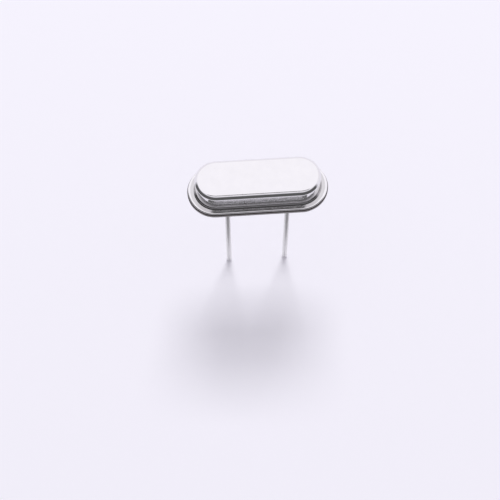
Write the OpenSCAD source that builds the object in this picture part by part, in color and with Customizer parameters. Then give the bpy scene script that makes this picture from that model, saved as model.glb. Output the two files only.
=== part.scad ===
// Low-profile two-lead quartz crystal in a welded metal can.
// X runs along the row of leads, Z is up, and the origin is the centre of the face that meets the board.

/* [Can] */
// Length of the can across its round ends, without the flange
can_l = 9.8; // [8.15:0.05:12]
// Width of the can, which is also the diameter of its round ends
can_w = 3.4; // [2.8:0.05:5]
// Height of the finished part, from the board to the top of the can
part_h = 2.3; // [1.9:0.1:5]
// Thickness of the can's sheet
can_t = 0.2; // [0.15:0.01:0.25]
// Radius of the can's upper edge, on the outside
can_top_r = 0.42; // [0.3:0.01:0.6]
// Radius of the bend between the can's wall and its flange, on the outside
can_foot_r = 0.2; // [0.1:0.01:0.3]

/* [Flange] */
// How far the header's flange stands out past the can's wall along its sides
side_reach = 0.5; // [0.35:0.01:0.8]
// How far the header's flange stands out past the can's wall at its round ends
end_reach = 0.625; // [0.35:0.005:0.8]
// How far the can's flange stops short of the header's edge
flange_step = 0.05; // [0.02:0.01:0.1]
// Radius on the outer edges of both flanges
flange_edge_r = 0.08; // [0.04:0.01:0.09]

/* [Header] */
// Thickness of the header's sheet
header_t = 0.3; // [0.2:0.01:0.4]
// How far the header's middle is pressed up into the can
header_rise = 0.25; // [0.15:0.01:0.3]
// Gap between the header's pressed middle and the can's wall
locating_gap = 0.06; // [0.03:0.01:0.15]
// Radius of the header's pressed edges
press_r = 0.12; // [0.05:0.01:0.15]
// Bore of each eyelet, which the glass fills
eyelet_d = 1.2; // [0.9:0.05:1.5]
// Wall thickness of each eyelet
eyelet_t = 0.18; // [0.1:0.01:0.25]
// Gap between the lower ends of the eyelets and the board
eyelet_lift = 0.08; // [0.04:0.01:0.12]

/* [Glass] */
// How far the glass stands up past the header
glass_proud = 0.05; // [0.02:0.01:0.1]
// Depth of the ring-shaped hollow in each end of the glass
meniscus = 0.05; // [0.02:0.01:0.08]
// Width of the flat rim on each side of that hollow
meniscus_rim = 0.03; // [0.02:0.01:0.05]

/* [Leads] */
// Distance between the centres of the two leads
lead_pitch = 4.88; // [4:0.01:6]
// Diameter of a finished lead, outside the glass
lead_d = 0.43; // [0.35:0.01:0.52]
// Thickness of the tin on a lead, which covers it up to the board face
tin_t = 0.01; // [0.005:0.005:0.02]
// Length of a lead below the board face
lead_l = 12.7; // [3:0.1:15.5]
// Chamfer on the cut end of a lead
lead_chamfer = 0.06; // [0.02:0.01:0.1]
// Diameter of the flattened head at the inner end of a lead
head_d = 0.85; // [0.65:0.01:0.88]
// Thickness of that head
head_t = 0.1; // [0.05:0.01:0.15]

/* [Clips] */
// Thickness of the clips' sheet
clip_t = 0.08; // [0.05:0.01:0.12]
// Diameter of the round pad that is welded to the lead's head
clip_pad_d = 0.8; // [0.75:0.01:0.9]
// Width of the arm that runs out from the pad
clip_arm_w = 0.5; // [0.3:0.05:0.7]
// Width of the upright that holds the blank
clip_w = 1.1; // [0.9:0.05:1.5]
// Inside radius of the bend between arm and upright
clip_bend_r = 0.08; // [0.04:0.01:0.1]
// How far the blank's end passes through the upright
clip_overrun = 0.2; // [0.1:0.01:0.3]
// Gap on each side of the blank in its slot
slot_gap = 0.04; // [0.03:0.01:0.08]
// How far the top of the upright stays below the blank's upper edge
clip_drop = 0.15; // [0.05:0.01:0.25]

/* [Crystal] */
// Thickness of the quartz blank
blank_t = 0.15; // [0.1:0.01:0.25]
// Free space between the blank's ends and the can
blank_end_gap = 0.75; // [0.5:0.05:1]
// Free space between the can's roof and the blank's upper edge
roof_gap = 0.15; // [0.1:0.01:0.25]
// Free space between the clips' arms and the blank's lower edge
blank_lift = 0.1; // [0.05:0.01:0.15]
// Chamfer along the blank's long edges and ends
blank_chamfer = 0.02; // [0.01:0.01:0.03]
// Length of the electrode's field in the middle of the blank
electrode_l = 4; // [2:0.1:4.5]
// Thickness of the electrode film
electrode_t = 0.02; // [0.01:0.005:0.025]
// Bare margin between the electrode's field and the blank's long edges
electrode_margin = 0.12; // [0.05:0.01:0.2]
// Width of the electrode's tail, which runs out to one clip
tail_w = 0.5; // [0.3:0.05:0.55]
// Radius of each dot of conductive adhesive
dot_r = 0.24; // [0.15:0.01:0.25]

/* [Hidden] */
$fn = 96;
// How far a cutting shape runs past what it cuts
over = 1;

// Half the length of the straight middle, between the centres of the round ends
half_mid = (can_l - can_w) / 2;
can_r = can_w / 2;
// The flange's round ends have centres of their own, because it stands out further there
flange_half_mid = half_mid + end_reach - side_reach;
flange_r = can_r + side_reach;
can_flange_r = flange_r - flange_step;
can_flange_top = header_t + can_t;

// The header's middle fits inside the can, and its hollow underside follows at the sheet's thickness
middle_r = can_r - can_t - locating_gap;
hollow_r = middle_r - header_t;
header_top = header_t + header_rise;

lead_x = lead_pitch / 2;
lead_r = lead_d / 2;
core_r = lead_r - tin_t;
eyelet_r = eyelet_d / 2;
glass_top = header_top + glass_proud;
head_top = glass_top + head_t;
arm_top = head_top + clip_t;

// The blank stands on edge between the clips' arms and the can's roof
blank_l = can_l - 2 * can_t - 2 * blank_end_gap;
blank_bottom = arm_top + blank_lift;
blank_top = part_h - can_t - roof_gap;
blank_h = blank_top - blank_bottom;
blank_mid_z = (blank_top + blank_bottom) / 2;

// Inner face of each clip's upright, measured from the centre
upright_x = blank_l / 2 - clip_overrun - clip_t;

// Carries a section, drawn as (distance from the middle line, height), along a straight middle
// and round both ends. half is the distance from the centre to the middle of each round end.
module sweep_oblong(half) {
    for (side = [-1, 1])
        translate([side * half, 0, 0])
            rotate([0, 0, -90 * side])
                rotate_extrude(angle = 180)
                    children();
    translate([-half, 0, 0])
        rotate([90, 0, 90])
            linear_extrude(2 * half) {
                children();
                mirror([1, 0])
                    children();
            }
}

// Section from the middle line out to reach, from bottom to top, with a rounded upper outer corner
module block_section(reach, bottom, top, r) {
    translate([0, bottom])
        square([reach, top - bottom - r]);
    translate([0, bottom])
        square([reach - r, top - bottom]);
    translate([reach - r, top - r])
        circle(r);
}

// Section of the wedge between the corner at (x, z) and the circle of radius r that rounds it
module corner_wedge(x, z, r) {
    difference() {
        translate([x, z])
            square(r);
        translate([x + r, z + r])
            circle(r);
    }
}

module can_outside_section() {
    block_section(can_r, header_t, part_h, can_top_r);
    corner_wedge(can_r, can_flange_top, can_foot_r);
}

module can_inside_section() {
    block_section(can_r - can_t, header_t - over, part_h - can_t, can_top_r - can_t);
    corner_wedge(can_r - can_t, header_t, can_foot_r + can_t);
}

// Drawn can, with a flange at its foot
module can() {
    color("gainsboro")
        difference() {
            union() {
                sweep_oblong(half_mid)
                    can_outside_section();
                sweep_oblong(flange_half_mid)
                    block_section(can_flange_r, header_t, can_flange_top, flange_edge_r);
            }
            sweep_oblong(half_mid)
                can_inside_section();
        }
}

// The flange is rounded along its lower edge
module header_flange_section() {
    mirror([0, 1])
        block_section(flange_r, -header_t, 0, flange_edge_r);
}

module header_hollow_section() {
    block_section(hollow_r, -over, header_rise, press_r);
    corner_wedge(hollow_r, 0, press_r);
}

// Pressed sheet with a flange and a middle that is raised into the can
module header_sheet() {
    difference() {
        union() {
            sweep_oblong(flange_half_mid)
                header_flange_section();
            sweep_oblong(half_mid)
                block_section(middle_r, 0, header_top, press_r);
        }
        sweep_oblong(half_mid)
            header_hollow_section();
    }
}

// Header: the pressed sheet with its two eyelets
module header() {
    color("lightgray")
        difference() {
            union() {
                header_sheet();
                for (side = [-1, 1])
                    translate([side * lead_x, 0, eyelet_lift])
                        cylinder(h = header_rise + header_t / 2 - eyelet_lift, r = eyelet_r + eyelet_t);
            }
            for (side = [-1, 1])
                translate([side * lead_x, 0, -over])
                    cylinder(h = header_top + 2 * over, r = eyelet_r);
        }
}

// Section of the ring-shaped hollow, whose bottom lies at height 0
module meniscus_cut() {
    half_width = (eyelet_r - core_r) / 2 - meniscus_rim;
    r = (half_width * half_width + meniscus * meniscus) / (2 * meniscus);
    translate([(eyelet_r + core_r) / 2, r])
        circle(r);
}

// Glass fused between a lead and its eyelet
module glass_bead(side) {
    color("darkslategray")
        translate([side * lead_x, 0, 0])
            rotate_extrude()
                difference() {
                    translate([core_r, eyelet_lift])
                        square([eyelet_r - core_r, glass_top - eyelet_lift]);
                    translate([0, glass_top - meniscus])
                        meniscus_cut();
                    translate([0, eyelet_lift + meniscus])
                        mirror([0, 1])
                            meniscus_cut();
                }
}

// Round lead: tinned below the board face, bare through the glass, with a flattened head inside the can
module lead(side) {
    color("silver")
        translate([side * lead_x, 0, 0]) {
            translate([0, 0, lead_chamfer - lead_l])
                cylinder(h = lead_l - lead_chamfer, r = lead_r);
            translate([0, 0, -lead_l])
                cylinder(h = lead_chamfer, r1 = lead_r - lead_chamfer, r2 = lead_r);
            cylinder(h = glass_top, r = core_r);
            translate([0, 0, glass_top])
                cylinder(h = head_t, d = head_d);
        }
}

// Section of the bent clip, along X and up Z, from the arm's start to the upright's top
module clip_section() {
    bend_x = upright_x - clip_bend_r;
    bend_z = arm_top + clip_bend_r;
    translate([lead_x, head_top])
        square([bend_x - lead_x, clip_t]);
    translate([upright_x, bend_z])
        square([clip_t, blank_top - clip_drop - bend_z]);
    intersection() {
        difference() {
            translate([bend_x, bend_z])
                circle(clip_bend_r + clip_t);
            translate([bend_x, bend_z])
                circle(clip_bend_r);
        }
        translate([bend_x, head_top])
            square(clip_bend_r + clip_t);
    }
}

// Spring clip: a pad welded to the lead's head, an arm and a slotted upright
module clip(side) {
    color("darkgray")
        mirror([side < 0 ? 1 : 0, 0, 0]) {
            translate([lead_x, 0, head_top])
                cylinder(h = clip_t, d = clip_pad_d);
            difference() {
                translate([0, clip_w / 2, 0])
                    rotate([90, 0, 0])
                        linear_extrude(clip_w)
                            clip_section();
                // The arm is narrower than the upright
                for (face = [0, 1])
                    mirror([0, face, 0])
                        translate([lead_x - over, clip_arm_w / 2, head_top - over])
                            cube([upright_x - clip_bend_r - lead_x + over, clip_w, clip_t + over]);
                // Slot that takes the blank's end
                translate([upright_x - over, -blank_t / 2 - slot_gap, blank_bottom])
                    cube([clip_t + 2 * over, blank_t + 2 * slot_gap, blank_h]);
            }
        }
}

// Strip of quartz, standing on edge, with its edges chamfered
module quartz_blank() {
    color("aliceblue")
        intersection() {
            translate([0, 0, blank_mid_z])
                cube([blank_l, blank_t, blank_h], center = true);
            // Chamfered section along the length
            rotate([90, 0, 90])
                translate([0, blank_mid_z, -blank_l / 2])
                    linear_extrude(blank_l)
                        chamfered_rectangle(blank_t, blank_h, blank_chamfer);
        }
}

// Centred rectangle with its four corners cut off at 45 degrees
module chamfered_rectangle(w, h, c) {
    polygon([
        [c - w / 2, -h / 2], [w / 2 - c, -h / 2], [w / 2, c - h / 2], [w / 2, h / 2 - c],
        [w / 2 - c, h / 2], [c - w / 2, h / 2], [-w / 2, h / 2 - c], [-w / 2, c - h / 2],
    ]);
}

// Silver film on one face of the blank, with a tail to one clip.
// side: -1 runs the tail to the left clip, 1 to the right clip. face: -1 is the front, 1 the back.
module electrode(side, face) {
    inner_y = face * (blank_t + electrode_t) / 2;
    color("whitesmoke")
        translate([0, inner_y, blank_mid_z]) {
            cube([electrode_l, electrode_t, blank_h - 2 * electrode_margin], center = true);
            translate([side * blank_l / 4, 0, 0])
                cube([blank_l / 2, electrode_t, tail_w], center = true);
        }
}

// Quarter ball of conductive adhesive in the corner between blank and upright.
// It lies on the electrode's tail where lift is the film's thickness.
module adhesive(side, face, lift) {
    color("dimgray")
        mirror([side < 0 ? 1 : 0, 0, 0])
            mirror([0, face < 0 ? 1 : 0, 0])
                intersection() {
                    translate([upright_x, blank_t / 2 + lift, blank_mid_z])
                        sphere(dot_r);
                    translate([upright_x - dot_r - over, blank_t / 2 + lift, blank_mid_z - dot_r - over])
                        cube([dot_r + over, dot_r + over, 2 * (dot_r + over)]);
                }
}

can();
header();
glass_bead(-1);  // left_glass_bead
glass_bead(1);  // right_glass_bead
lead(-1);  // left_lead
lead(1);  // right_lead
clip(-1);  // left_clip
clip(1);  // right_clip
quartz_blank();
electrode(-1, -1);  // front_electrode
electrode(1, 1);  // back_electrode
adhesive(-1, -1, electrode_t);  // left_front_adhesive
adhesive(-1, 1, 0);  // left_back_adhesive
adhesive(1, -1, 0);  // right_front_adhesive
adhesive(1, 1, electrode_t);  // right_back_adhesive
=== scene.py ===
import math

import bpy
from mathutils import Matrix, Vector


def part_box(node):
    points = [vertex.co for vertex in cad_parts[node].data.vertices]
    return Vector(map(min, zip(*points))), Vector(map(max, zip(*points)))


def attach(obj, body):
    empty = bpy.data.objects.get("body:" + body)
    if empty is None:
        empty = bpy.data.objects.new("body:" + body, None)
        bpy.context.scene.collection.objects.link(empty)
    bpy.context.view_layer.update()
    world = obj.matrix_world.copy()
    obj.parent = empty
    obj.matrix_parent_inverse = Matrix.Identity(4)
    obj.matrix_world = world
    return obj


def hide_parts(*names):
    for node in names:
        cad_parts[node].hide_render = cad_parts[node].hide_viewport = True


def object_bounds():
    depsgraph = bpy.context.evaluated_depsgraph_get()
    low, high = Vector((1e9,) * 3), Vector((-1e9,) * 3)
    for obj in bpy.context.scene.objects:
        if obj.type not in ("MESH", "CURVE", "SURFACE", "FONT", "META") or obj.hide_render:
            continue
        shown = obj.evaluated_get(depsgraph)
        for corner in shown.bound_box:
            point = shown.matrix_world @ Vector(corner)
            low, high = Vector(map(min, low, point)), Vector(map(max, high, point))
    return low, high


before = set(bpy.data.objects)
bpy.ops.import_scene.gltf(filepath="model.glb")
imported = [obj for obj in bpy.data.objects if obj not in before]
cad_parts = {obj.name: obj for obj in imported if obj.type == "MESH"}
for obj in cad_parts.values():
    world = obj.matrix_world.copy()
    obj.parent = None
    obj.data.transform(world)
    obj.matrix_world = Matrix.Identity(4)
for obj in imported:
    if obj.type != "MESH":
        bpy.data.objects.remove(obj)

cad_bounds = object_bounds()

# Pieces are worked in millimetres and brought down to metres at the end,
# because bevels of a few hundredths of a millimetre fail at life size.
MM = 0.001
NEAR = 0.0005
NEARER = 0.00005

# Width of the strip that keeps a flat face flat up to where its edge is rounded
HOLD = 0.04


def corners(node):
    """Lowest and highest corner of a CAD node, in millimetres."""
    low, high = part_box(node)
    return low / MM, high / MM


can_low, can_high = corners("can")
header_low, header_high = corners("header")
glass_low, glass_high = corners("right_glass_bead")
wire_low, wire_high = corners("right_lead")

# Can: a drawn sheet with a round-ended plan, and a flange at its foot
CAN_SHEET = 0.2
CAN_SIDE_REACH = 0.45
CAN_END_REACH = 0.575
ROOF_EDGE_RADIUS = 0.42
FOOT_RADIUS = 0.22
FOOT_CREASE = math.radians(25)
FLANGE_EDGE_RADIUS = 0.08
BURR_RADIUS = 0.012
can_top = can_high.z
can_foot = can_low.z
can_flange_top = can_foot + CAN_SHEET
wall_reach = can_high.y - CAN_SIDE_REACH
wall_middle = can_high.x - CAN_END_REACH - wall_reach
can_flange_reach = can_high.y
can_flange_middle = can_high.x - can_high.y

# The roof's middle is sunk a little: shares of its half width, and of the sink that is left there
ROOF_SINK = 0.008
ROOF_DISH = ((0, 1), (0.35, 0.9), (0.7, 0.5))

# Header: a flat flange with a middle that is pressed up, and two eyelets
PRESSED_REACH = 1.44
HOLLOW_REACH = 1.14
HOLLOW_TOP = 0.25
PRESS_RADIUS = 0.12
EYELET_WALL = 0.18
EYELET_LIP_RADIUS = 0.04
EYELET_BORE_RADIUS = 0.02
header_flange_middle = header_high.x - header_high.y
header_foot = header_low.z
header_top = header_high.z
eyelet_end = glass_low.z

# Lip of weld metal in the corner between the flanges. Its crest is given in shares of its width
LIP_WIDTH = 0.028
LIP_RISE = 0.022
LIP_CREST_OUT = 0.6
LIP_CREST_IN = 0.15

# Glass: a ring-shaped hollow between flat rims, rounded over most of its sloping sides
MENISCUS_RIM = 0.03
MENISCUS = 0.05
MENISCUS_ROUNDING = 0.95
glass_radius = (glass_high.x - glass_low.x) / 2

# Leads: tinned wire, a bare core in the glass, a cut end and a flattened head
WIRE_RADIUS = 0.215
CORE_RADIUS = 0.205
WIRE_HOLD = 0.5
CUT_CHAMFER = 0.06
CUT_SOFTENING = 0.02
CUT_SLANT = math.radians(9)
TIN_SOFTENING = 0.005
HEAD_EDGE_RADIUS = 0.035
wire_x = (wire_low.x + wire_high.x) / 2
wire_end = wire_low.z
head_top = wire_high.z
head_radius = (wire_high.x - wire_low.x) / 2

# Steps round a half turn of the can and header, and round a whole turn of a lead, bead or dot
OBLONG_STEPS = 64
ROUND_STEPS = 56
DOT_STEPS = 48

# Edges that meet at a wider angle than this stay sharp. The can's bends are finer than the rest
CRISP = math.radians(35)
CAN_CRISP = math.radians(22)


# ---------------------------------------------------------------- modelling


def edit():
    bpy.ops.object.mode_set(mode="EDIT")


def leave_edit():
    bpy.ops.object.mode_set(mode="OBJECT")


def take(piece):
    """Selects one piece and nothing else."""
    bpy.ops.object.select_all(action="DESELECT")
    piece.select_set(True)
    bpy.context.view_layer.objects.active = piece


def settle_place():
    """Puts the selected piece's place, turn and scale into its mesh."""
    bpy.ops.object.transform_apply(location=True, rotation=True, scale=True)


def pick(piece, wanted, kind="VERT"):
    """Selects the points that wanted(place) is true of, and what joins them, and goes into edit mode."""
    leave_edit()
    mesh = piece.data
    for part in (mesh.polygons, mesh.edges, mesh.vertices):
        part.foreach_set("select", [False] * len(part))
    mesh.vertices.foreach_set("select", [bool(wanted(v.co)) for v in mesh.vertices])
    edit()
    bpy.ops.mesh.select_mode(type="VERT")
    if kind != "VERT":
        bpy.ops.mesh.select_mode(type=kind)


def draw_section(name, points):
    """A plane shrunk to one point, which is extruded from place to place along a section."""
    bpy.ops.object.select_all(action="DESELECT")
    bpy.ops.mesh.primitive_plane_add(size=1)
    piece = bpy.context.object
    piece.name = piece.data.name = name
    edit()
    bpy.ops.mesh.select_mode(type="VERT")
    bpy.ops.mesh.select_all(action="SELECT")
    bpy.ops.mesh.merge(type="CENTER")
    bpy.ops.transform.translate(value=points[0])
    for here, there in zip(points, points[1:]):
        step = [b - a for a, b in zip(here, there)]
        bpy.ops.mesh.extrude_vertices_move(TRANSFORM_OT_translate={"value": step})
    return piece


def round_corner(piece, place, reach, steps):
    """Rounds one corner of a drawn section, up to that distance along both of its sides."""
    target = Vector(place)
    pick(piece, lambda co: (co - target).length < NEAR)
    bpy.ops.mesh.bevel(
        offset=reach, segments=steps, profile=0.5, affect="VERTICES", clamp_overlap=False
    )


def round_edges(piece, wanted, radius, steps):
    """Rounds the edges between the points that wanted(place) is true of."""
    pick(piece, wanted, "EDGE")
    bpy.ops.mesh.bevel(
        offset=radius, segments=steps, profile=0.5, affect="EDGES", clamp_overlap=False
    )


def spin_section(centre_x, turn, steps):
    """Turns the drawn section about an upright axis, and closes seams and poles."""
    bpy.ops.mesh.select_all(action="SELECT")
    bpy.ops.mesh.spin(steps=steps, angle=-turn, center=(centre_x, 0, 0), axis=(0, 0, 1))
    bpy.ops.mesh.select_all(action="SELECT")
    bpy.ops.mesh.remove_doubles(threshold=NEAR)
    bpy.ops.mesh.normals_make_consistent(inside=False)


def distance_out(co, middle):
    """Distance from the straight line between the centres of the two round ends."""
    return math.hypot(max(abs(co.x) - middle, 0), co.y)


def stretch_to_middle(piece, cut_x):
    """Runs the open cut of a spun half on to the middle of the part."""
    pick(piece, lambda co: abs(co.x - cut_x) < NEAR, "EDGE")
    bpy.ops.mesh.extrude_region_move(TRANSFORM_OT_translate={"value": (-cut_x, 0, 0)})


def widen_end(piece, wanted, by):
    """Moves the round end of the flange out, because it stands out further there than at the sides."""
    pick(piece, lambda co: co.x > NEAR and wanted(co))
    bpy.ops.transform.translate(value=(by, 0, 0))


def apply_modifier(piece, kind, **settings):
    """Gives the piece a modifier with those settings, and applies it at once."""
    leave_edit()
    modifier = piece.modifiers.new(kind.title(), kind)
    for name, value in settings.items():
        setattr(modifier, name, value)
    bpy.ops.object.modifier_apply(modifier=modifier.name)


def mirror_halves(piece):
    """Adds the left half, and joins it to the right one."""
    apply_modifier(piece, "MIRROR", use_clip=True, merge_threshold=NEAR)


def face_outwards():
    """Merges doubles and turns the faces of the piece in hand outwards."""
    edit()
    bpy.ops.mesh.select_all(action="SELECT")
    bpy.ops.mesh.remove_doubles(threshold=NEARER)
    bpy.ops.mesh.normals_make_consistent(inside=False)
    leave_edit()


def bring_to_size(piece, crisp=CRISP):
    """Brings a finished piece down to metres, with its place in its mesh, and smooths its shading."""
    leave_edit()
    piece.scale = (MM, MM, MM)
    take(piece)
    settle_place()
    bpy.ops.object.shade_smooth_by_angle(angle=crisp)


def section_place(centre_x):
    """Turns a section point, given as distance out and height, into a place beside that centre."""
    return lambda point: (centre_x, -point[0], point[1])


def drawn_can():
    """The can, drawn from one sheet: its skin is shaped first and then given its thickness."""
    roof_flat = wall_reach - ROOF_EDGE_RADIUS
    # The welding die flattens the flange, so the bend runs out into a shallow crease, not a tangent
    reach = FOOT_RADIUS * math.tan((math.pi / 2 - FOOT_CREASE) / 2)
    bend = can_flange_top + (reach + NEAR) * math.sin(FOOT_CREASE)
    crease = wall_reach + (reach + NEAR) * math.cos(FOOT_CREASE)
    roof_edge = (wall_reach, can_top)
    foot = (wall_reach, bend)
    points = [(roof_flat * out, can_top - ROOF_SINK * left) for out, left in ROOF_DISH]
    points += [
        (roof_flat - HOLD, can_top),
        roof_edge,
        (wall_reach, can_top - ROOF_EDGE_RADIUS - HOLD),
        (wall_reach, bend + reach + HOLD),
        foot,
        (crease, can_flange_top),
        (crease + HOLD / 2, can_flange_top),
        (can_flange_reach - FLANGE_EDGE_RADIUS - HOLD / 2, can_flange_top),
        (can_flange_reach, can_flange_top),
    ]
    place = section_place(wall_middle)
    piece = draw_section("drawn_can", [place(point) for point in points])
    round_corner(piece, place(roof_edge), ROOF_EDGE_RADIUS, steps=16)
    round_corner(piece, place(foot), reach, steps=10)
    spin_section(wall_middle, math.pi, OBLONG_STEPS)
    stretch_to_middle(piece, wall_middle)
    widen_end(
        piece,
        lambda co: co.z < can_flange_top + NEAR
        and distance_out(co, wall_middle) > crease + HOLD,
        can_flange_middle - wall_middle,
    )
    mirror_halves(piece)
    face_outwards()
    apply_modifier(piece, "SOLIDIFY", thickness=CAN_SHEET, offset=-1, use_even_offset=True)

    def on_rim(co, height):
        return abs(co.z - height) < NEAR and (
            abs(distance_out(co, can_flange_middle) - can_flange_reach) < NEAR
        )

    round_edges(piece, lambda co: on_rim(co, can_flange_top), FLANGE_EDGE_RADIUS, steps=8)
    round_edges(piece, lambda co: on_rim(co, can_foot), BURR_RADIUS, steps=2)
    face_outwards()
    return piece


def header_band():
    """The header's flange and pressed step, without the flat middle that holds the eyelets."""
    hollow_edge = (HOLLOW_REACH, HOLLOW_TOP)
    hollow_mouth = (HOLLOW_REACH, header_foot)
    lower_rim = (header_high.y, header_foot)
    upper_rim = (header_high.y, can_foot)
    pressed_edge = (PRESSED_REACH, header_top)
    lip_top = can_foot + LIP_RISE
    lip_start = can_flange_reach + LIP_WIDTH * LIP_CREST_IN
    points = [
        (HOLLOW_REACH - PRESS_RADIUS - HOLD, HOLLOW_TOP),
        hollow_edge,
        (HOLLOW_REACH, HOLLOW_TOP / 2),
        hollow_mouth,
        (HOLLOW_REACH + PRESS_RADIUS + HOLD, header_foot),
        (header_high.y - FLANGE_EDGE_RADIUS - HOLD, header_foot),
        lower_rim,
        upper_rim,
        (can_flange_reach + LIP_WIDTH, can_foot),
        (can_flange_reach + LIP_WIDTH * LIP_CREST_OUT, lip_top),
        (lip_start, lip_top),
        (lip_start, can_foot),
        (PRESSED_REACH, can_foot),
        pressed_edge,
        (PRESSED_REACH - PRESS_RADIUS - HOLD, header_top),
    ]
    place = section_place(wall_middle)
    piece = draw_section("pressed_header", [place(point) for point in points])
    round_corner(piece, place(hollow_edge), PRESS_RADIUS, steps=8)
    round_corner(piece, place(hollow_mouth), PRESS_RADIUS, steps=8)
    round_corner(piece, place(lower_rim), FLANGE_EDGE_RADIUS, steps=8)
    round_corner(piece, place(upper_rim), BURR_RADIUS, steps=2)
    round_corner(piece, place(pressed_edge), PRESS_RADIUS, steps=6)
    spin_section(wall_middle, math.pi, OBLONG_STEPS)
    stretch_to_middle(piece, wall_middle)
    flange_start = (PRESSED_REACH + header_high.y) / 2
    widen_end(
        piece,
        lambda co: distance_out(co, wall_middle) > flange_start,
        header_flange_middle - wall_middle,
    )
    mirror_halves(piece)
    return piece


def fill_level(piece, height, reach):
    """Closes a flat gap at that height, within that distance of the middle line."""
    pick(
        piece,
        lambda co: abs(co.z - height) < NEAR and distance_out(co, wall_middle) < reach,
        "EDGE",
    )
    bpy.ops.mesh.fill(use_beauty=True)


def form_eyelet(piece, side):
    """Draws an eyelet down from the hollow's roof: outer wall, lower end, then the bore up to the top."""
    centre = Vector((side * wire_x, 0, 0))
    outside = glass_radius + EYELET_WALL

    def on_ring(radius, height):
        return lambda co: abs(co.z - height) < NEAR and (
            abs(math.hypot(co.x - centre.x, co.y) - radius) < NEAR
        )

    down = (0, 0, eyelet_end - HOLLOW_TOP)
    up = (0, 0, header_top - eyelet_end)
    shrink = glass_radius / outside
    pick(piece, on_ring(outside, HOLLOW_TOP), "EDGE")
    bpy.ops.mesh.extrude_region_move(TRANSFORM_OT_translate={"value": down})
    bpy.ops.mesh.extrude_region_move()
    bpy.ops.transform.resize(value=(shrink, shrink, 1), center_override=centre)
    bpy.ops.mesh.extrude_region_move(TRANSFORM_OT_translate={"value": up})
    round_edges(piece, on_ring(outside, eyelet_end), EYELET_LIP_RADIUS, steps=5)
    round_edges(piece, on_ring(glass_radius, eyelet_end), EYELET_BORE_RADIUS, steps=3)


def pressed_header():
    """The header, pressed from one sheet, with its two eyelets."""
    piece = header_band()
    edit()
    for side in (-1, 1):
        bpy.ops.mesh.primitive_circle_add(
            vertices=ROUND_STEPS,
            radius=glass_radius + EYELET_WALL,
            location=(side * wire_x, 0, HOLLOW_TOP),
        )
    fill_level(piece, HOLLOW_TOP, HOLLOW_REACH - PRESS_RADIUS - NEAR)
    for side in (-1, 1):
        form_eyelet(piece, side)
    fill_level(piece, header_top, PRESSED_REACH - PRESS_RADIUS - NEAR)
    face_outwards()
    return piece


def glass_seal():
    """Glass fused between lead and eyelet, with a ring-shaped hollow in each end."""
    inner = CORE_RADIUS
    outer = glass_radius
    middle = (inner + outer) / 2
    low = glass_low.z
    high = glass_high.z
    upper_hollow = (middle, high - 2 * MENISCUS)
    lower_hollow = (middle, low + 2 * MENISCUS)
    points = [
        (inner, high),
        (inner + MENISCUS_RIM, high),
        upper_hollow,
        (outer - MENISCUS_RIM, high),
        (outer, high),
        (outer, low),
        (outer - MENISCUS_RIM, low),
        lower_hollow,
        (inner + MENISCUS_RIM, low),
        (inner, low),
        (inner, high),
    ]
    place = section_place(wire_x)
    piece = draw_section("right_glass_seal", [place(point) for point in points])
    reach = MENISCUS_ROUNDING * math.hypot(outer - MENISCUS_RIM - middle, 2 * MENISCUS)
    round_corner(piece, place(upper_hollow), reach, steps=12)
    round_corner(piece, place(lower_hollow), reach, steps=12)
    spin_section(wire_x, 2 * math.pi, ROUND_STEPS)
    face_outwards()
    return piece


def slant_cut(piece):
    """Tips the cut end of a lead, and keeps its lowest point where it was."""
    centre = (wire_x, 0, wire_end + CUT_CHAMFER)
    pick(piece, lambda co: co.z < wire_end + 2 * CUT_CHAMFER)
    bpy.ops.transform.rotate(value=CUT_SLANT, orient_axis="X", center_override=centre)
    leave_edit()
    lowest = min(v.co.z for v in piece.data.vertices)
    edit()
    bpy.ops.transform.translate(value=(0, 0, wire_end - lowest))


def wire_lead():
    """Tinned wire up to the board face, bare wire in the glass, and a flattened head in the can."""
    cut_inner = (WIRE_RADIUS - CUT_CHAMFER, wire_end)
    cut_outer = (WIRE_RADIUS, wire_end + CUT_CHAMFER)
    tin_end = (WIRE_RADIUS, header_foot)
    head_lower = (head_radius, glass_high.z)
    head_upper = (head_radius, head_top)
    points = [
        (0, wire_end),
        cut_inner,
        cut_outer,
        (WIRE_RADIUS, wire_end + WIRE_HOLD),
        (WIRE_RADIUS, header_foot - WIRE_HOLD),
        tin_end,
        (CORE_RADIUS, header_foot),
        (CORE_RADIUS, glass_high.z),
        head_lower,
        head_upper,
        (0, head_top),
    ]
    place = section_place(wire_x)
    piece = draw_section("right_wire", [place(point) for point in points])
    round_corner(piece, place(cut_inner), CUT_SOFTENING, steps=3)
    round_corner(piece, place(cut_outer), CUT_SOFTENING, steps=3)
    round_corner(piece, place(tin_end), TIN_SOFTENING, steps=2)
    round_corner(piece, place(head_lower), HEAD_EDGE_RADIUS, steps=4)
    round_corner(piece, place(head_upper), HEAD_EDGE_RADIUS, steps=4)
    spin_section(wire_x, 2 * math.pi, ROUND_STEPS)
    slant_cut(piece)
    face_outwards()
    return piece


def adhesive_dot(node):
    """A quarter ball of adhesive in the corner between the blank and a clip's upright."""
    low, high = corners(node)
    middle = (low + high) / 2
    side = math.copysign(1, middle.x)
    face = math.copysign(1, middle.y)
    corner = (side * max(abs(low.x), abs(high.x)), face * min(abs(low.y), abs(high.y)), middle.z)
    bpy.ops.object.select_all(action="DESELECT")
    bpy.ops.mesh.primitive_uv_sphere_add(
        segments=DOT_STEPS,
        ring_count=DOT_STEPS // 2,
        radius=(high.z - low.z) / 2,
        location=corner,
    )
    piece = bpy.context.object
    piece.name = piece.data.name = node + "_dot"
    settle_place()
    for outwards in ((side, 0, 0), (0, -face, 0)):
        edit()
        bpy.ops.mesh.select_all(action="SELECT")
        bpy.ops.mesh.bisect(
            plane_co=corner, plane_no=outwards, use_fill=True, clear_outer=True, threshold=NEARER
        )
    face_outwards()
    return piece


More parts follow.
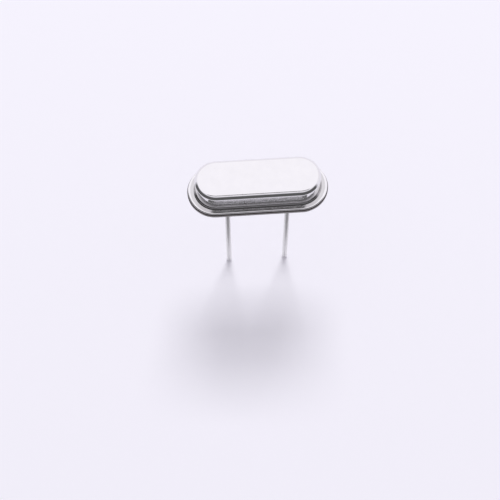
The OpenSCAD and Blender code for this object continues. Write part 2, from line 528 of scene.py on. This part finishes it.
def other_side(piece, name):
    """A mirrored copy with its own mesh, for the left end."""
    twin = piece.copy()
    twin.data = piece.data.copy()
    twin.name = twin.data.name = name
    bpy.context.scene.collection.objects.link(twin)
    take(twin)
    twin.scale = (-1, 1, 1)
    settle_place()
    face_outwards()
    return twin


# ---------------------------------------------------------------- materials


class Value:
    """A socket that plain arithmetic works on. Each step adds one Math node."""

    def __init__(self, shader, socket):
        self.shader = shader
        self.socket = socket

    def step(self, operation, first, second=0.0):
        return self.shader.node("ShaderNodeMath", {"operation": operation}, {0: first, 1: second})

    def __add__(self, other):
        return self.step("ADD", self, other)

    def __radd__(self, other):
        return self.step("ADD", other, self)

    def __sub__(self, other):
        return self.step("SUBTRACT", self, other)

    def __rsub__(self, other):
        return self.step("SUBTRACT", other, self)

    def __mul__(self, other):
        return self.step("MULTIPLY", self, other)

    def __rmul__(self, other):
        return self.step("MULTIPLY", other, self)

    def __abs__(self):
        return self.step("ABSOLUTE", self)


class Shader:
    """One material's nodes."""

    def __init__(self, name):
        self.material = bpy.data.materials.new(name)
        self.material.use_nodes = True
        self.tree = self.material.node_tree
        self.tree.nodes.clear()

    def node(self, kind, settings=None, inputs=None, output=0):
        """Adds a node. Its settings come first, and then the values or links of its sockets."""
        made = self.tree.nodes.new(kind)
        for name, value in (settings or {}).items():
            setattr(made, name, value)
        for key, value in (inputs or {}).items():
            if isinstance(key, str):
                socket = next(s for s in made.inputs if s.name == key and s.enabled)
            else:
                socket = made.inputs[key]
            if isinstance(value, Value):
                self.tree.links.new(value.socket, socket)
            else:
                socket.default_value = value
        if isinstance(output, str):
            output = next(i for i, s in enumerate(made.outputs) if s.name == output and s.enabled)
        return Value(self, made.outputs[output]) if len(made.outputs) else None

    def vector(self, operation, inputs, output="Vector"):
        return self.node("ShaderNodeVectorMath", {"operation": operation}, inputs, output)

    def place(self):
        """Place on the object, in millimetres."""
        raw = self.node("ShaderNodeTexCoord", output="Object")
        return self.vector("SCALE", {0: raw, "Scale": 1 / MM})

    def parts(self, vector):
        return [self.node("ShaderNodeSeparateXYZ", inputs={0: vector}, output=i) for i in range(3)]

    def distance(self, x, y):
        """Length of a level step."""
        level = self.node("ShaderNodeCombineXYZ", inputs={"X": x, "Y": y})
        return self.vector("LENGTH", {0: level}, "Value")

    def out_from_middle(self, place):
        """Distance from the line between the centres of the can's two round ends, in millimetres."""
        x, y = self.parts(place)[:2]
        past_centre = self.node(
            "ShaderNodeMath", {"operation": "MAXIMUM"}, {0: abs(x) - wall_middle, 1: 0.0}
        )
        return self.distance(past_centre, y)

    def levelness(self):
        """1 where the surface lies level, down to 0 where it stands upright."""
        return abs(self.parts(self.node("ShaderNodeNewGeometry", output="Normal"))[2])

    def where_level(self):
        """1 on level surfaces, and 0 on those that lean."""
        return self.rise(self.levelness(), LEVEL_GONE, LEVEL_FROM)

    def where_upright(self):
        """1 on upright surfaces, and 0 on those that lean."""
        return self.fall(self.levelness(), UPRIGHT_TO, UPRIGHT_GONE)

    def noise(self, place, grain, detail=2.0, roughness=0.5):
        """Cloudy pattern. grain is the size of its patches along x, y and z, in millimetres."""
        if isinstance(grain, (int, float)):
            grain = (grain, grain, grain)
        scaled = self.vector("MULTIPLY", {0: place, 1: [1 / g for g in grain]})
        return self.node(
            "ShaderNodeTexNoise",
            inputs={"Vector": scaled, "Scale": 1.0, "Detail": detail, "Roughness": roughness},
        )

    def rise(self, value, low, high):
        """Smooth step from 0 to 1 as the value goes from low to high."""
        return self.node(
            "ShaderNodeMapRange",
            {"interpolation_type": "SMOOTHSTEP"},
            {"Value": value, "From Min": low, "From Max": high},
        )

    def fall(self, value, low, high):
        """Smooth step from 1 to 0 as the value goes from low to high."""
        return 1.0 - self.rise(value, low, high)

    def band(self, value, low, high, fade):
        """1 between low and high, fading to 0 on both sides."""
        return self.rise(value, low - fade, low) * self.fall(value, high, high + fade)

    def blend(self, factor, first, second):
        """Colour that goes from first to second."""
        return self.node(
            "ShaderNodeMix",
            {"data_type": "RGBA"},
            {"Factor": factor, "A": first, "B": second},
            "Result",
        )

    def bump(self, height):
        """Normal from a height in millimetres."""
        return self.node(
            "ShaderNodeBump", inputs={"Strength": 1.0, "Distance": MM, "Height": height}
        )

    def scratches(self, place, heading, length, width, crest):
        """Fine lines in one direction, where a stretched pattern rises past its crest."""
        turned = self.node(
            "ShaderNodeVectorRotate",
            {"rotation_type": "Z_AXIS"},
            {"Vector": place, "Angle": math.radians(heading)},
        )
        lines = self.noise(turned, (length, width, width), detail=1.0)
        return self.rise(lines, crest, crest + SCRATCH_EDGE)

    def surface(self, **inputs):
        """The material, closed with one Principled shader."""
        named = {name.replace("_", " ").title(): value for name, value in inputs.items()}
        shader = self.node("ShaderNodeBsdfPrincipled", inputs=named)
        self.node("ShaderNodeOutputMaterial", inputs={"Surface": shader})
        return self.material


# How sharply a scratch starts, in parts of its pattern's strength
SCRATCH_EDGE = 0.04

# Levelness from which a surface counts as level, and up to which it counts as upright.
# Each fades out over the lean between its two values.
LEVEL_FROM = 0.98
LEVEL_GONE = 0.85
UPRIGHT_TO = 0.3
UPRIGHT_GONE = 0.8

# Bright nickel, from the clean plate to the burnt metal of the weld. The crease's colour is painted
# shade, and the sheared rim and the burnt weld are darkened further by painted shade
NICKEL_BRIGHT = (0.86, 0.85, 0.855, 1)
NICKEL_SHADED = (0.80, 0.79, 0.80, 1)
NICKEL_PRESSED = (0.50, 0.49, 0.49, 1)
NICKEL_CREASE_SHADE = (0.36, 0.35, 0.35, 1)
NICKEL_SHEARED_AND_SHADE = (0.35, 0.34, 0.335, 1)
NICKEL_BURNT_AND_SHADE = (0.14, 0.125, 0.115, 1)

# What each pattern on the can adds to its roughness
CAN_POLISH = 0.04
GRAIN_DULLS = 0.06
DRAW_LINES_DULL = 0.03
CLOUDS_DULL = 0.02
SCUFFS_DULL = 0.06
TRACK_DULLS = 0.05
RIM_DULLS = 0.06
TORN_RIM_DULLS = 0.20

# How far each pattern on the can stands up or is cut in, in millimetres
GRAIN_HEIGHT = 0.0002
DRAW_LINES_HEIGHT = 0.0003
PEEL_HEIGHT = 0.0006
CLOUDS_HEIGHT = 0.0025
SCUFFS_DEPTH = 0.0002
TRACK_HEIGHT = 0.00015
TORN_HEIGHT = 0.004

# Heights above the flange's upper face between which its own marks fade out
FLANGE_MARKS_TO = 0.02
FLANGE_MARKS_GONE = 0.08

# How far in from the flange's edge the sheared rim starts, and where it is at full strength
RIM_START = 0.06
RIM_FULL = 0.02

# The die's track starts this far out from the wall, with a soft and wandering edge
TRACK_START = 0.16
TRACK_FADE = 0.05
TRACK_WANDER = 0.06

# The burnt seam, darkened further as painted shade, lies up to this high above the can's foot, with a
# ragged edge
SEAM_TO = 0.03
SEAM_GONE = 0.09
SEAM_WANDER = 0.04

# The crease at the wall's foot, darkened as painted shade: heights above the flange's upper face, and how
# far out from the wall
CREASE_LOW = 0.01
CREASE_HIGH = 0.14
CREASE_FADE = 0.06
CREASE_OUT = 0.17
CREASE_GONE = 0.20

# How fully each mark covers the colour under it. The track is patchy
TRACK_COVERS = 0.45
TRACK_PATCHES = 0.3
CREASE_SHADE_COVERS = 0.8
SHEAR_AND_SHADE_COVERS = 0.9


def scuffs_on(s, p):
    """Fine scratches in three directions."""
    return (
        s.scratches(p, heading=18, length=1.2, width=0.03, crest=0.64)
        + s.scratches(p, heading=-35, length=0.9, width=0.025, crest=0.65)
        + s.scratches(p, heading=80, length=0.7, width=0.03, crest=0.66)
    )


def torn_metal(s, p):
    """The broken grain of a sheared edge."""
    return s.noise(p, grain=(0.03, 0.03, 0.12), detail=3.0, roughness=0.7)


def can_nickel():
    """Bright nickel: rolled grain on the roof, draw lines on the wall, a flange with a burnt weld seam
    and a sheared rim, and painted shade that darkens the crease at the wall's foot, the rim and the seam.
    """
    s = Shader("can_nickel")
    p = s.place()
    z = s.parts(p)[2]
    out = s.out_from_middle(p)
    level = s.where_level()
    upright = s.where_upright()
    bent = (1.0 - level) * (1.0 - upright)

    grain = s.noise(p, grain=(3.0, 0.035, 0.035), detail=3.0, roughness=0.6)
    draw_lines = s.noise(p, grain=(0.05, 0.05, 1.6), roughness=0.6)
    clouds = s.noise(p, grain=0.8, detail=3.0)
    peel = s.noise(p, grain=0.07)
    wander = s.noise(p, grain=0.25, detail=3.0) * TRACK_WANDER
    torn = torn_metal(s, p)
    scuffs = scuffs_on(s, p)

    # The welding die leaves a pressed track on the flange. The crease at the wall's foot is darkened as
    # painted shade
    flange = s.fall(z, can_flange_top + FLANGE_MARKS_TO, can_flange_top + FLANGE_MARKS_GONE)
    rim_start = can_flange_reach - RIM_START
    rim = s.rise(out, rim_start, can_flange_reach - RIM_FULL) * upright * flange
    track = s.band(out + wander, wall_reach + TRACK_START, rim_start, TRACK_FADE) * flange
    seam = s.fall(z + torn * SEAM_WANDER, can_foot + SEAM_TO, can_foot + SEAM_GONE)
    bend = s.band(z, can_flange_top + CREASE_LOW, can_flange_top + CREASE_HIGH, CREASE_FADE)
    near_wall = s.fall(out, wall_reach + CREASE_OUT, wall_reach + CREASE_GONE)
    crease = bend * (1.0 - level) * near_wall

    roughness = (
        CAN_POLISH
        + level * (grain * GRAIN_DULLS)
        + upright * (draw_lines * DRAW_LINES_DULL)
        + clouds * CLOUDS_DULL
        + scuffs * SCUFFS_DULL
        + track * (torn * TRACK_DULLS)
        + rim * (torn * TORN_RIM_DULLS + RIM_DULLS)
    )
    height = (
        level * (grain * GRAIN_HEIGHT)
        + upright * (draw_lines * DRAW_LINES_HEIGHT)
        + bent * (peel * PEEL_HEIGHT)
        + clouds * CLOUDS_HEIGHT
        - scuffs * SCUFFS_DEPTH
        + track * (torn * TRACK_HEIGHT)
        + rim * (torn * TORN_HEIGHT)
    )
    clean = s.blend(clouds, NICKEL_SHADED, NICKEL_BRIGHT)
    patchy = TRACK_COVERS + clouds * TRACK_PATCHES
    pressed = s.blend(track * patchy, clean, NICKEL_PRESSED)
    # Painted shade: the crease at the wall's foot is darkened
    with_crease_shade = s.blend(crease * CREASE_SHADE_COVERS, pressed, NICKEL_CREASE_SHADE)
    # Painted shade: the sheared rim and the burnt seam are darkened past their own metal
    sheared = s.blend(rim * SHEAR_AND_SHADE_COVERS, with_crease_shade, NICKEL_SHEARED_AND_SHADE)
    welded_and_shaded = s.blend(seam * rim, sheared, NICKEL_BURNT_AND_SHADE)
    return s.surface(
        base_color=welded_and_shaded, metallic=1.0, roughness=roughness, normal=s.bump(height)
    )


# Duller nickel on the header, from the clean plate to the burnt metal of the weld. The sheared rim and
# the burnt weld are darkened further by painted shade
HEADER_BRIGHT = (0.78, 0.77, 0.75, 1)
HEADER_SHADED = (0.70, 0.69, 0.67, 1)
HEADER_HEATED = (0.60, 0.53, 0.42, 1)
HEADER_SHEARED_AND_SHADE = (0.31, 0.30, 0.295, 1)
HEADER_BURNT_AND_SHADE = (0.09, 0.08, 0.075, 1)

# What each pattern on the header adds to its roughness. The rim and the weld have their own
HEADER_POLISH = 0.24
HEADER_CLOUDS_DULL = 0.1
HEADER_GRAIN_DULLS = 0.08
MOTTLE_DULLS = 0.05
HEADER_RIM_POLISH = 0.14
HEADER_TORN_DULLS = 0.2
WELD_DULLS = 0.2

# How far each pattern on the header stands up, in millimetres
HEADER_CLOUDS_HEIGHT = 0.004
HEADER_GRAIN_HEIGHT = 0.0006
MOTTLE_HEIGHT = 0.0008

# How far in from the header's edge its sheared rim starts, and where it is at full strength
HEADER_RIM_START = 0.10
HEADER_RIM_FULL = 0.04

# The weld's burnt ledge, darkened further as painted shade: how far in from the can's flange
# it starts, and how far below the can's foot it starts and is at full strength
WELD_IN = 0.02
WELD_START = 0.10
WELD_FULL = 0.04

# Heat marks fade out between these distances from the glass, with a mottled edge
HEAT_TO = 0.15
HEAT_GONE = 0.75
HEAT_MOTTLE = 0.3
HEAT_COVERS = 0.5


def header_nickel():
    """Duller nickel on the header, with a sheared rim, a burnt weld ledge and heat marks round the
    eyelets, and painted shade that darkens the rim and the ledge.
    """
    s = Shader("header_nickel")
    p = s.place()
    x, y, z = s.parts(p)
    out = s.out_from_middle(p)
    from_wire = s.distance(abs(x) - wire_x, y)
    upright = s.where_upright()

    clouds = s.noise(p, grain=0.9, detail=3.0)
    mottle = s.noise(p, grain=0.10, detail=3.0)
    grain = s.noise(p, grain=(0.04, 2.5, 0.04))
    torn = torn_metal(s, p)

    edge = header_high.y
    rim = s.rise(out, edge - HEADER_RIM_START, edge - HEADER_RIM_FULL) * upright
    above_rim = s.rise(z, can_foot - WELD_START, can_foot - WELD_FULL)
    weld = s.rise(out, can_flange_reach - WELD_IN, can_flange_reach) * above_rim
    mottled = from_wire + mottle * HEAT_MOTTLE
    heated = s.fall(mottled, glass_radius + HEAT_TO, glass_radius + HEAT_GONE)

    clean = s.blend(clouds, HEADER_SHADED, HEADER_BRIGHT)
    tinted = s.blend(heated * HEAT_COVERS, clean, HEADER_HEATED)
    # Painted shade: the sheared rim and the burnt weld ledge are darkened past their own metal
    sheared = s.blend(rim * SHEAR_AND_SHADE_COVERS, tinted, HEADER_SHEARED_AND_SHADE)
    welded_and_shaded = s.blend(weld, sheared, HEADER_BURNT_AND_SHADE)
    plate_roughness = (
        HEADER_POLISH
        + clouds * HEADER_CLOUDS_DULL
        + grain * HEADER_GRAIN_DULLS
        + mottle * MOTTLE_DULLS
    )
    roughness = (
        (1.0 - rim) * plate_roughness
        + rim * (HEADER_RIM_POLISH + torn * HEADER_TORN_DULLS)
        + weld * WELD_DULLS
    )
    height = (
        clouds * HEADER_CLOUDS_HEIGHT
        + grain * HEADER_GRAIN_HEIGHT
        + mottle * MOTTLE_HEIGHT
        + rim * (torn * TORN_HEIGHT)
    )
    return s.surface(base_color=welded_and_shaded, metallic=1.0, roughness=roughness, normal=s.bump(height))


GLASS_DARK = (0.035, 0.055, 0.050, 1)
GLASS_LIGHT = (0.075, 0.11, 0.10, 1)
GLASS_BUBBLE = (0.20, 0.25, 0.23, 1)
GLASS_POLISH = 0.07
GLASS_CLOUDS_DULL = 0.05
GLASS_CLOUDS_HEIGHT = 0.004

# Bubbles in the glass. Each is full up to its reach and gone at the second, in parts of
# the bubbles' spacing
BUBBLES_TO_THE_MILLIMETRE = 14.0
BUBBLE_REACH = 0.10
BUBBLE_GONE = 0.22
BUBBLE_COVERS = 0.4
BUBBLE_DEPTH = 0.002


def dark_glass():
    """Dark green glass with small bubbles that dent its skin."""
    s = Shader("dark_glass")
    p = s.place()
    clouds = s.noise(p, grain=0.3, detail=3.0)
    from_bubble = s.node(
        "ShaderNodeTexVoronoi",
        {"feature": "F1"},
        {"Vector": p, "Scale": BUBBLES_TO_THE_MILLIMETRE},
    )
    bubble = s.fall(from_bubble, BUBBLE_REACH, BUBBLE_GONE)
    colour = s.blend(clouds, GLASS_DARK, GLASS_LIGHT)
    return s.surface(
        base_color=s.blend(bubble * BUBBLE_COVERS, colour, GLASS_BUBBLE),
        roughness=GLASS_POLISH + clouds * GLASS_CLOUDS_DULL,
        normal=s.bump(clouds * GLASS_CLOUDS_HEIGHT - bubble * BUBBLE_DEPTH),
    )


TIN_BRIGHT = (0.84, 0.84, 0.83, 1)
TIN_SHADED = (0.72, 0.72, 0.71, 1)
BARE_WIRE = (0.55, 0.53, 0.50, 1)
TIN_POLISH = 0.24
TIN_BLOTCHES_DULL = 0.16
TIN_LINES_DULL = 0.08
TIN_BLOTCHES_HEIGHT = 0.003
TIN_LINES_HEIGHT = 0.0012

# The tin ends between this far below the board face and this far above it
TIN_FROM = 0.05
TIN_GONE = 0.03


def tinned():
    """Hot-dipped tin below the board face, and bare wire above it."""
    s = Shader("tinned")
    p = s.place()
    lines = s.noise(p, grain=(0.04, 0.04, 3.0))
    blotches = s.noise(p, grain=0.35, detail=3.0, roughness=0.6)
    bare = s.rise(s.parts(p)[2], header_foot - TIN_FROM, header_foot + TIN_GONE)
    tin = s.blend(blotches, TIN_SHADED, TIN_BRIGHT)
    roughness = TIN_POLISH + blotches * TIN_BLOTCHES_DULL + lines * TIN_LINES_DULL
    height = lines * TIN_LINES_HEIGHT + blotches * TIN_BLOTCHES_HEIGHT
    return s.surface(
        base_color=s.blend(bare, tin, BARE_WIRE),
        metallic=1.0,
        roughness=roughness,
        normal=s.bump(height),
    )


# On a plain finish, the clouds' part in the roughness, and their height in parts of their size
PLAIN_CLOUDS_DULL = 0.1
PLAIN_CLOUDS_HEIGHT = 0.01


def plain_finish(name, dark, light, grain, metallic, roughness, **more):
    """A plain finish for pieces inside the can: slight variation in colour and roughness."""
    s = Shader(name)
    clouds = s.noise(s.place(), grain, detail=3.0)
    return s.surface(
        base_color=s.blend(clouds, dark, light),
        metallic=metallic,
        roughness=roughness + clouds * PLAIN_CLOUDS_DULL,
        normal=s.bump(clouds * grain * PLAIN_CLOUDS_HEIGHT),
        **more,
    )


# ---------------------------------------------------------------- assembly


def stand_for(piece, node, material):
    """The piece takes a CAD node's part, and wears that material."""
    piece.data.materials.clear()
    piece.data.materials.append(material)
    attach(piece, "root")
    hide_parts(node)


def dress(nodes, material):
    """Gives CAD nodes that stay a finished material."""
    for name in nodes:
        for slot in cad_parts[name].material_slots:
            slot.material = material


can_piece = drawn_can()
bring_to_size(can_piece, crisp=CAN_CRISP)
stand_for(can_piece, "can", can_nickel())

header_piece = pressed_header()
bring_to_size(header_piece)
stand_for(header_piece, "header", header_nickel())

glass = dark_glass()
right_seal = glass_seal()
left_seal = other_side(right_seal, "left_glass_seal")
for seal, node in ((left_seal, "left_glass_bead"), (right_seal, "right_glass_bead")):
    bring_to_size(seal)
    stand_for(seal, node, glass)

tin = tinned()
right_wire = wire_lead()
left_wire = other_side(right_wire, "left_wire")
for wire, node in ((left_wire, "left_lead"), (right_wire, "right_lead")):
    bring_to_size(wire)
    stand_for(wire, node, tin)

clip_metal = plain_finish(
    "clip_metal",
    dark=(0.60, 0.58, 0.54, 1),
    light=(0.74, 0.72, 0.68, 1),
    grain=0.2,
    metallic=1.0,
    roughness=0.28,
)
polished_quartz = plain_finish(
    "polished_quartz",
    dark=(0.84, 0.88, 0.90, 1),
    light=(0.90, 0.93, 0.95, 1),
    grain=0.5,
    metallic=0.0,
    roughness=0.05,
    alpha=0.45,
)
silver_film = plain_finish(
    "silver_film",
    dark=(0.86, 0.85, 0.83, 1),
    light=(0.94, 0.93, 0.91, 1),
    grain=0.3,
    metallic=1.0,
    roughness=0.22,
)
adhesive = plain_finish(
    "conductive_adhesive",
    dark=(0.34, 0.34, 0.32, 1),
    light=(0.52, 0.52, 0.50, 1),
    grain=0.05,
    metallic=0.6,
    roughness=0.5,
)
dress(["left_clip", "right_clip"], clip_metal)
dress(["quartz_blank"], polished_quartz)
dress(["front_electrode", "back_electrode"], silver_film)
for side in ("left", "right"):
    for face in ("front", "back"):
        node = f"{side}_{face}_adhesive"
        dot = adhesive_dot(node)
        bring_to_size(dot)
        stand_for(dot, node, adhesive)


# ---------------------------------------------------------------- studio

# The studio is laid out in metres. Only the dark screen is worked in millimetres, as the
# pieces are.
FLOOR_SIZE = 1.6
FLOOR_GAP = 0.02 * MM
FLOOR_PAINT = (0.935, 0.92, 0.985, 1)
ROOM_LIGHT = (0.96, 0.94, 1.0, 1)
ROOM_STRENGTH_ON_DULL = 0.52
ROOM_STRENGTH_SEEN = 1.0

# The dark screen stands this far out from the can's middle line, in millimetres, and fades out
# into the pale room at its top, at its foot and at both ends. Headings are from straight ahead.
SCREEN_REACH = 3.2
SCREEN_FOOT = -0.1
SCREEN_FOOT_FADE = 0.8
SCREEN_TOP_FADE = 2.7
SCREEN_TOP = 3.6
SCREEN_LEFT = math.radians(-89)
SCREEN_RIGHT = math.radians(73)
SCREEN_SIDE_FADE = math.radians(8)
SCREEN_DARK = (0.11, 0.11, 0.113, 1)
SCREEN_PALE = (0.90, 0.88, 0.96, 1)

# The level cards are this much bluer than grey
CARD_BLUER = 1.02

CAMERA_TURN = math.radians(3.83)
CAMERA_RISE = math.radians(65.06)
CAMERA_DISTANCE = 0.09
CAMERA_AIM = Vector((-0.00095, -0.00513, 0))
CAMERA_LENS = 84.4
CAMERA_FILM = 36
CAMERA_NEAR = 0.001
CAMERA_FAR = 10


def pale_floor():
    """A pale floor that can be seen through from below, so that the underside isn't hidden."""
    bpy.ops.object.select_all(action="DESELECT")
    bpy.ops.mesh.primitive_plane_add(
        size=FLOOR_SIZE, location=(0, 0, cad_bounds[0].z - FLOOR_GAP)
    )
    floor = bpy.context.object
    floor.name = "floor"
    s = Shader("pale_floor")
    below = s.node("ShaderNodeNewGeometry", output="Backfacing")
    paint = s.node("ShaderNodeBsdfDiffuse", inputs={"Color": FLOOR_PAINT})
    clear = s.node("ShaderNodeBsdfTransparent")
    mixed = s.node("ShaderNodeMixShader", inputs={0: below, 1: paint, 2: clear})
    s.node("ShaderNodeOutputMaterial", inputs={"Surface": mixed})
    floor.data.materials.append(s.material)


def lamp(name, place, aim, size, brightness, mirrored):
    """A soft rectangular lamp that the camera doesn't see. A brightness of 1 is a white face."""
    data = bpy.data.lights.new(name, "AREA")
    data.shape = "RECTANGLE"
    data.size, data.size_y = size
    data.energy = brightness * math.pi * data.size * data.size_y
    made = bpy.data.objects.new(name, data)
    bpy.context.scene.collection.objects.link(made)
    made.location = place
    made.rotation_euler = (Vector(aim) - Vector(place)).to_track_quat("-Z", "Y").to_euler()
    made.visible_camera = False
    made.visible_glossy = mirrored


def pale_world():
    """A pale room. Shiny surfaces mirror it as the camera sees it, and it lights dull ones less."""
    world = bpy.data.worlds.new("pale_world")
    world.use_nodes = True
    tree = world.node_tree
    back = tree.nodes["Background"]
    back.inputs["Color"].default_value = ROOM_LIGHT
    path = tree.nodes.new("ShaderNodeLightPath")
    seen = path.outputs["Is Camera Ray"]
    for kind in ("Is Glossy Ray", "Is Transmission Ray"):
        either = tree.nodes.new("ShaderNodeMath")
        either.operation = "MAXIMUM"
        tree.links.new(seen, either.inputs[0])
        tree.links.new(path.outputs[kind], either.inputs[1])
        seen = either.outputs[0]
    strength = tree.nodes.new("ShaderNodeMapRange")
    tree.links.new(seen, strength.inputs["Value"])
    strength.inputs["To Min"].default_value = ROOM_STRENGTH_ON_DULL
    strength.inputs["To Max"].default_value = ROOM_STRENGTH_SEEN
    tree.links.new(strength.outputs[0], back.inputs["Strength"])
    bpy.context.scene.world = world


def reflected_card(card, shader, tone):
    """Makes an object a card that glows at a set grey tone, and that only shiny surfaces see."""
    card.name = shader.material.name
    grey = shader.node("ShaderNodeEmission", inputs={"Color": tone})
    shader.node("ShaderNodeOutputMaterial", inputs={"Surface": grey})
    card.data.materials.append(shader.material)
    card.visible_camera = False
    card.visible_diffuse = False
    card.visible_shadow = False


def dark_screen():
    """A screen that follows the can's front and ends. It draws the dark lines on rounded edges."""
    place = section_place(wall_middle)
    ends = [place((SCREEN_REACH, SCREEN_FOOT)), place((SCREEN_REACH, SCREEN_TOP))]
    screen = draw_section("dark_screen", ends)
    spin_section(wall_middle, math.pi, OBLONG_STEPS)
    stretch_to_middle(screen, wall_middle)
    mirror_halves(screen)
    left_end = SCREEN_LEFT - SCREEN_SIDE_FADE
    right_end = SCREEN_RIGHT + SCREEN_SIDE_FADE
    pick(screen, lambda co: not left_end < math.atan2(co.x, -co.y) < right_end)
    bpy.ops.mesh.delete(type="VERT")
    bring_to_size(screen)

    s = Shader("dark_screen")
    x, y, z = s.parts(s.place())
    heading = s.node("ShaderNodeMath", {"operation": "ARCTAN2"}, {0: x, 1: 0.0 - y})
    in_front = s.band(heading, SCREEN_LEFT, SCREEN_RIGHT, SCREEN_SIDE_FADE)
    at_top = s.rise(z, SCREEN_TOP_FADE, SCREEN_TOP)
    at_foot = s.rise(z, SCREEN_FOOT_FADE, SCREEN_FOOT)
    upper = s.blend(at_top, SCREEN_DARK, SCREEN_PALE)
    middle = s.blend(at_foot, upper, SCREEN_PALE)
    reflected_card(screen, s, s.blend(in_front, SCREEN_PALE, middle))


def flat_card(name, low, high, height, tone):
    """A level card between two corners. The upright walls mirror it."""
    middle = [(a + b) / 2 for a, b in zip(low, high)]
    bpy.ops.object.select_all(action="DESELECT")
    bpy.ops.mesh.primitive_plane_add(size=1, location=(*middle, height))
    card = bpy.context.object
    card.scale = (high[0] - low[0], high[1] - low[1], 1)
    settle_place()
    reflected_card(card, Shader(name), (tone, tone, tone * CARD_BLUER, 1))


def camera():
    """Camera above and in front, a little to one side."""
    level = math.cos(CAMERA_RISE)
    back = Vector(
        (-math.sin(CAMERA_TURN) * level, -math.cos(CAMERA_TURN) * level, math.sin(CAMERA_RISE))
    )
    data = bpy.data.cameras.new("camera")
    data.sensor_width = CAMERA_FILM
    data.lens = CAMERA_LENS
    data.clip_start = CAMERA_NEAR
    data.clip_end = CAMERA_FAR
    made = bpy.data.objects.new("camera", data)
    bpy.context.scene.collection.objects.link(made)
    made.location = CAMERA_AIM + back * CAMERA_DISTANCE
    made.rotation_euler = (-back).to_track_quat("-Z", "Y").to_euler()
    bpy.context.scene.camera = made


pale_floor()
pale_world()
lamp(
    "overhead_softbox",
    place=(0, 0.30, 0.50),
    aim=(0, 0.30, 0),
    size=(1.40, 0.96),
    brightness=0.14,
    mirrored=True,
)
lamp(
    "key",
    place=(0.06, 0.36, 0.60),
    aim=(0, 0, 0),
    size=(0.28, 0.28),
    brightness=9.8,
    mirrored=False,
)
dark_screen()
flat_card(
    "grey_pad",
    low=(-0.0098, -0.0091),
    high=(0.0088, -0.0025),
    height=cad_bounds[0].z + 0.1 * MM,
    tone=0.14,
)
flat_card("camera_bar", low=(-0.05, -0.050), high=(0.05, -0.032), height=0.075, tone=0.12)
camera()
bpy.context.scene.view_settings.view_transform = "Standard"
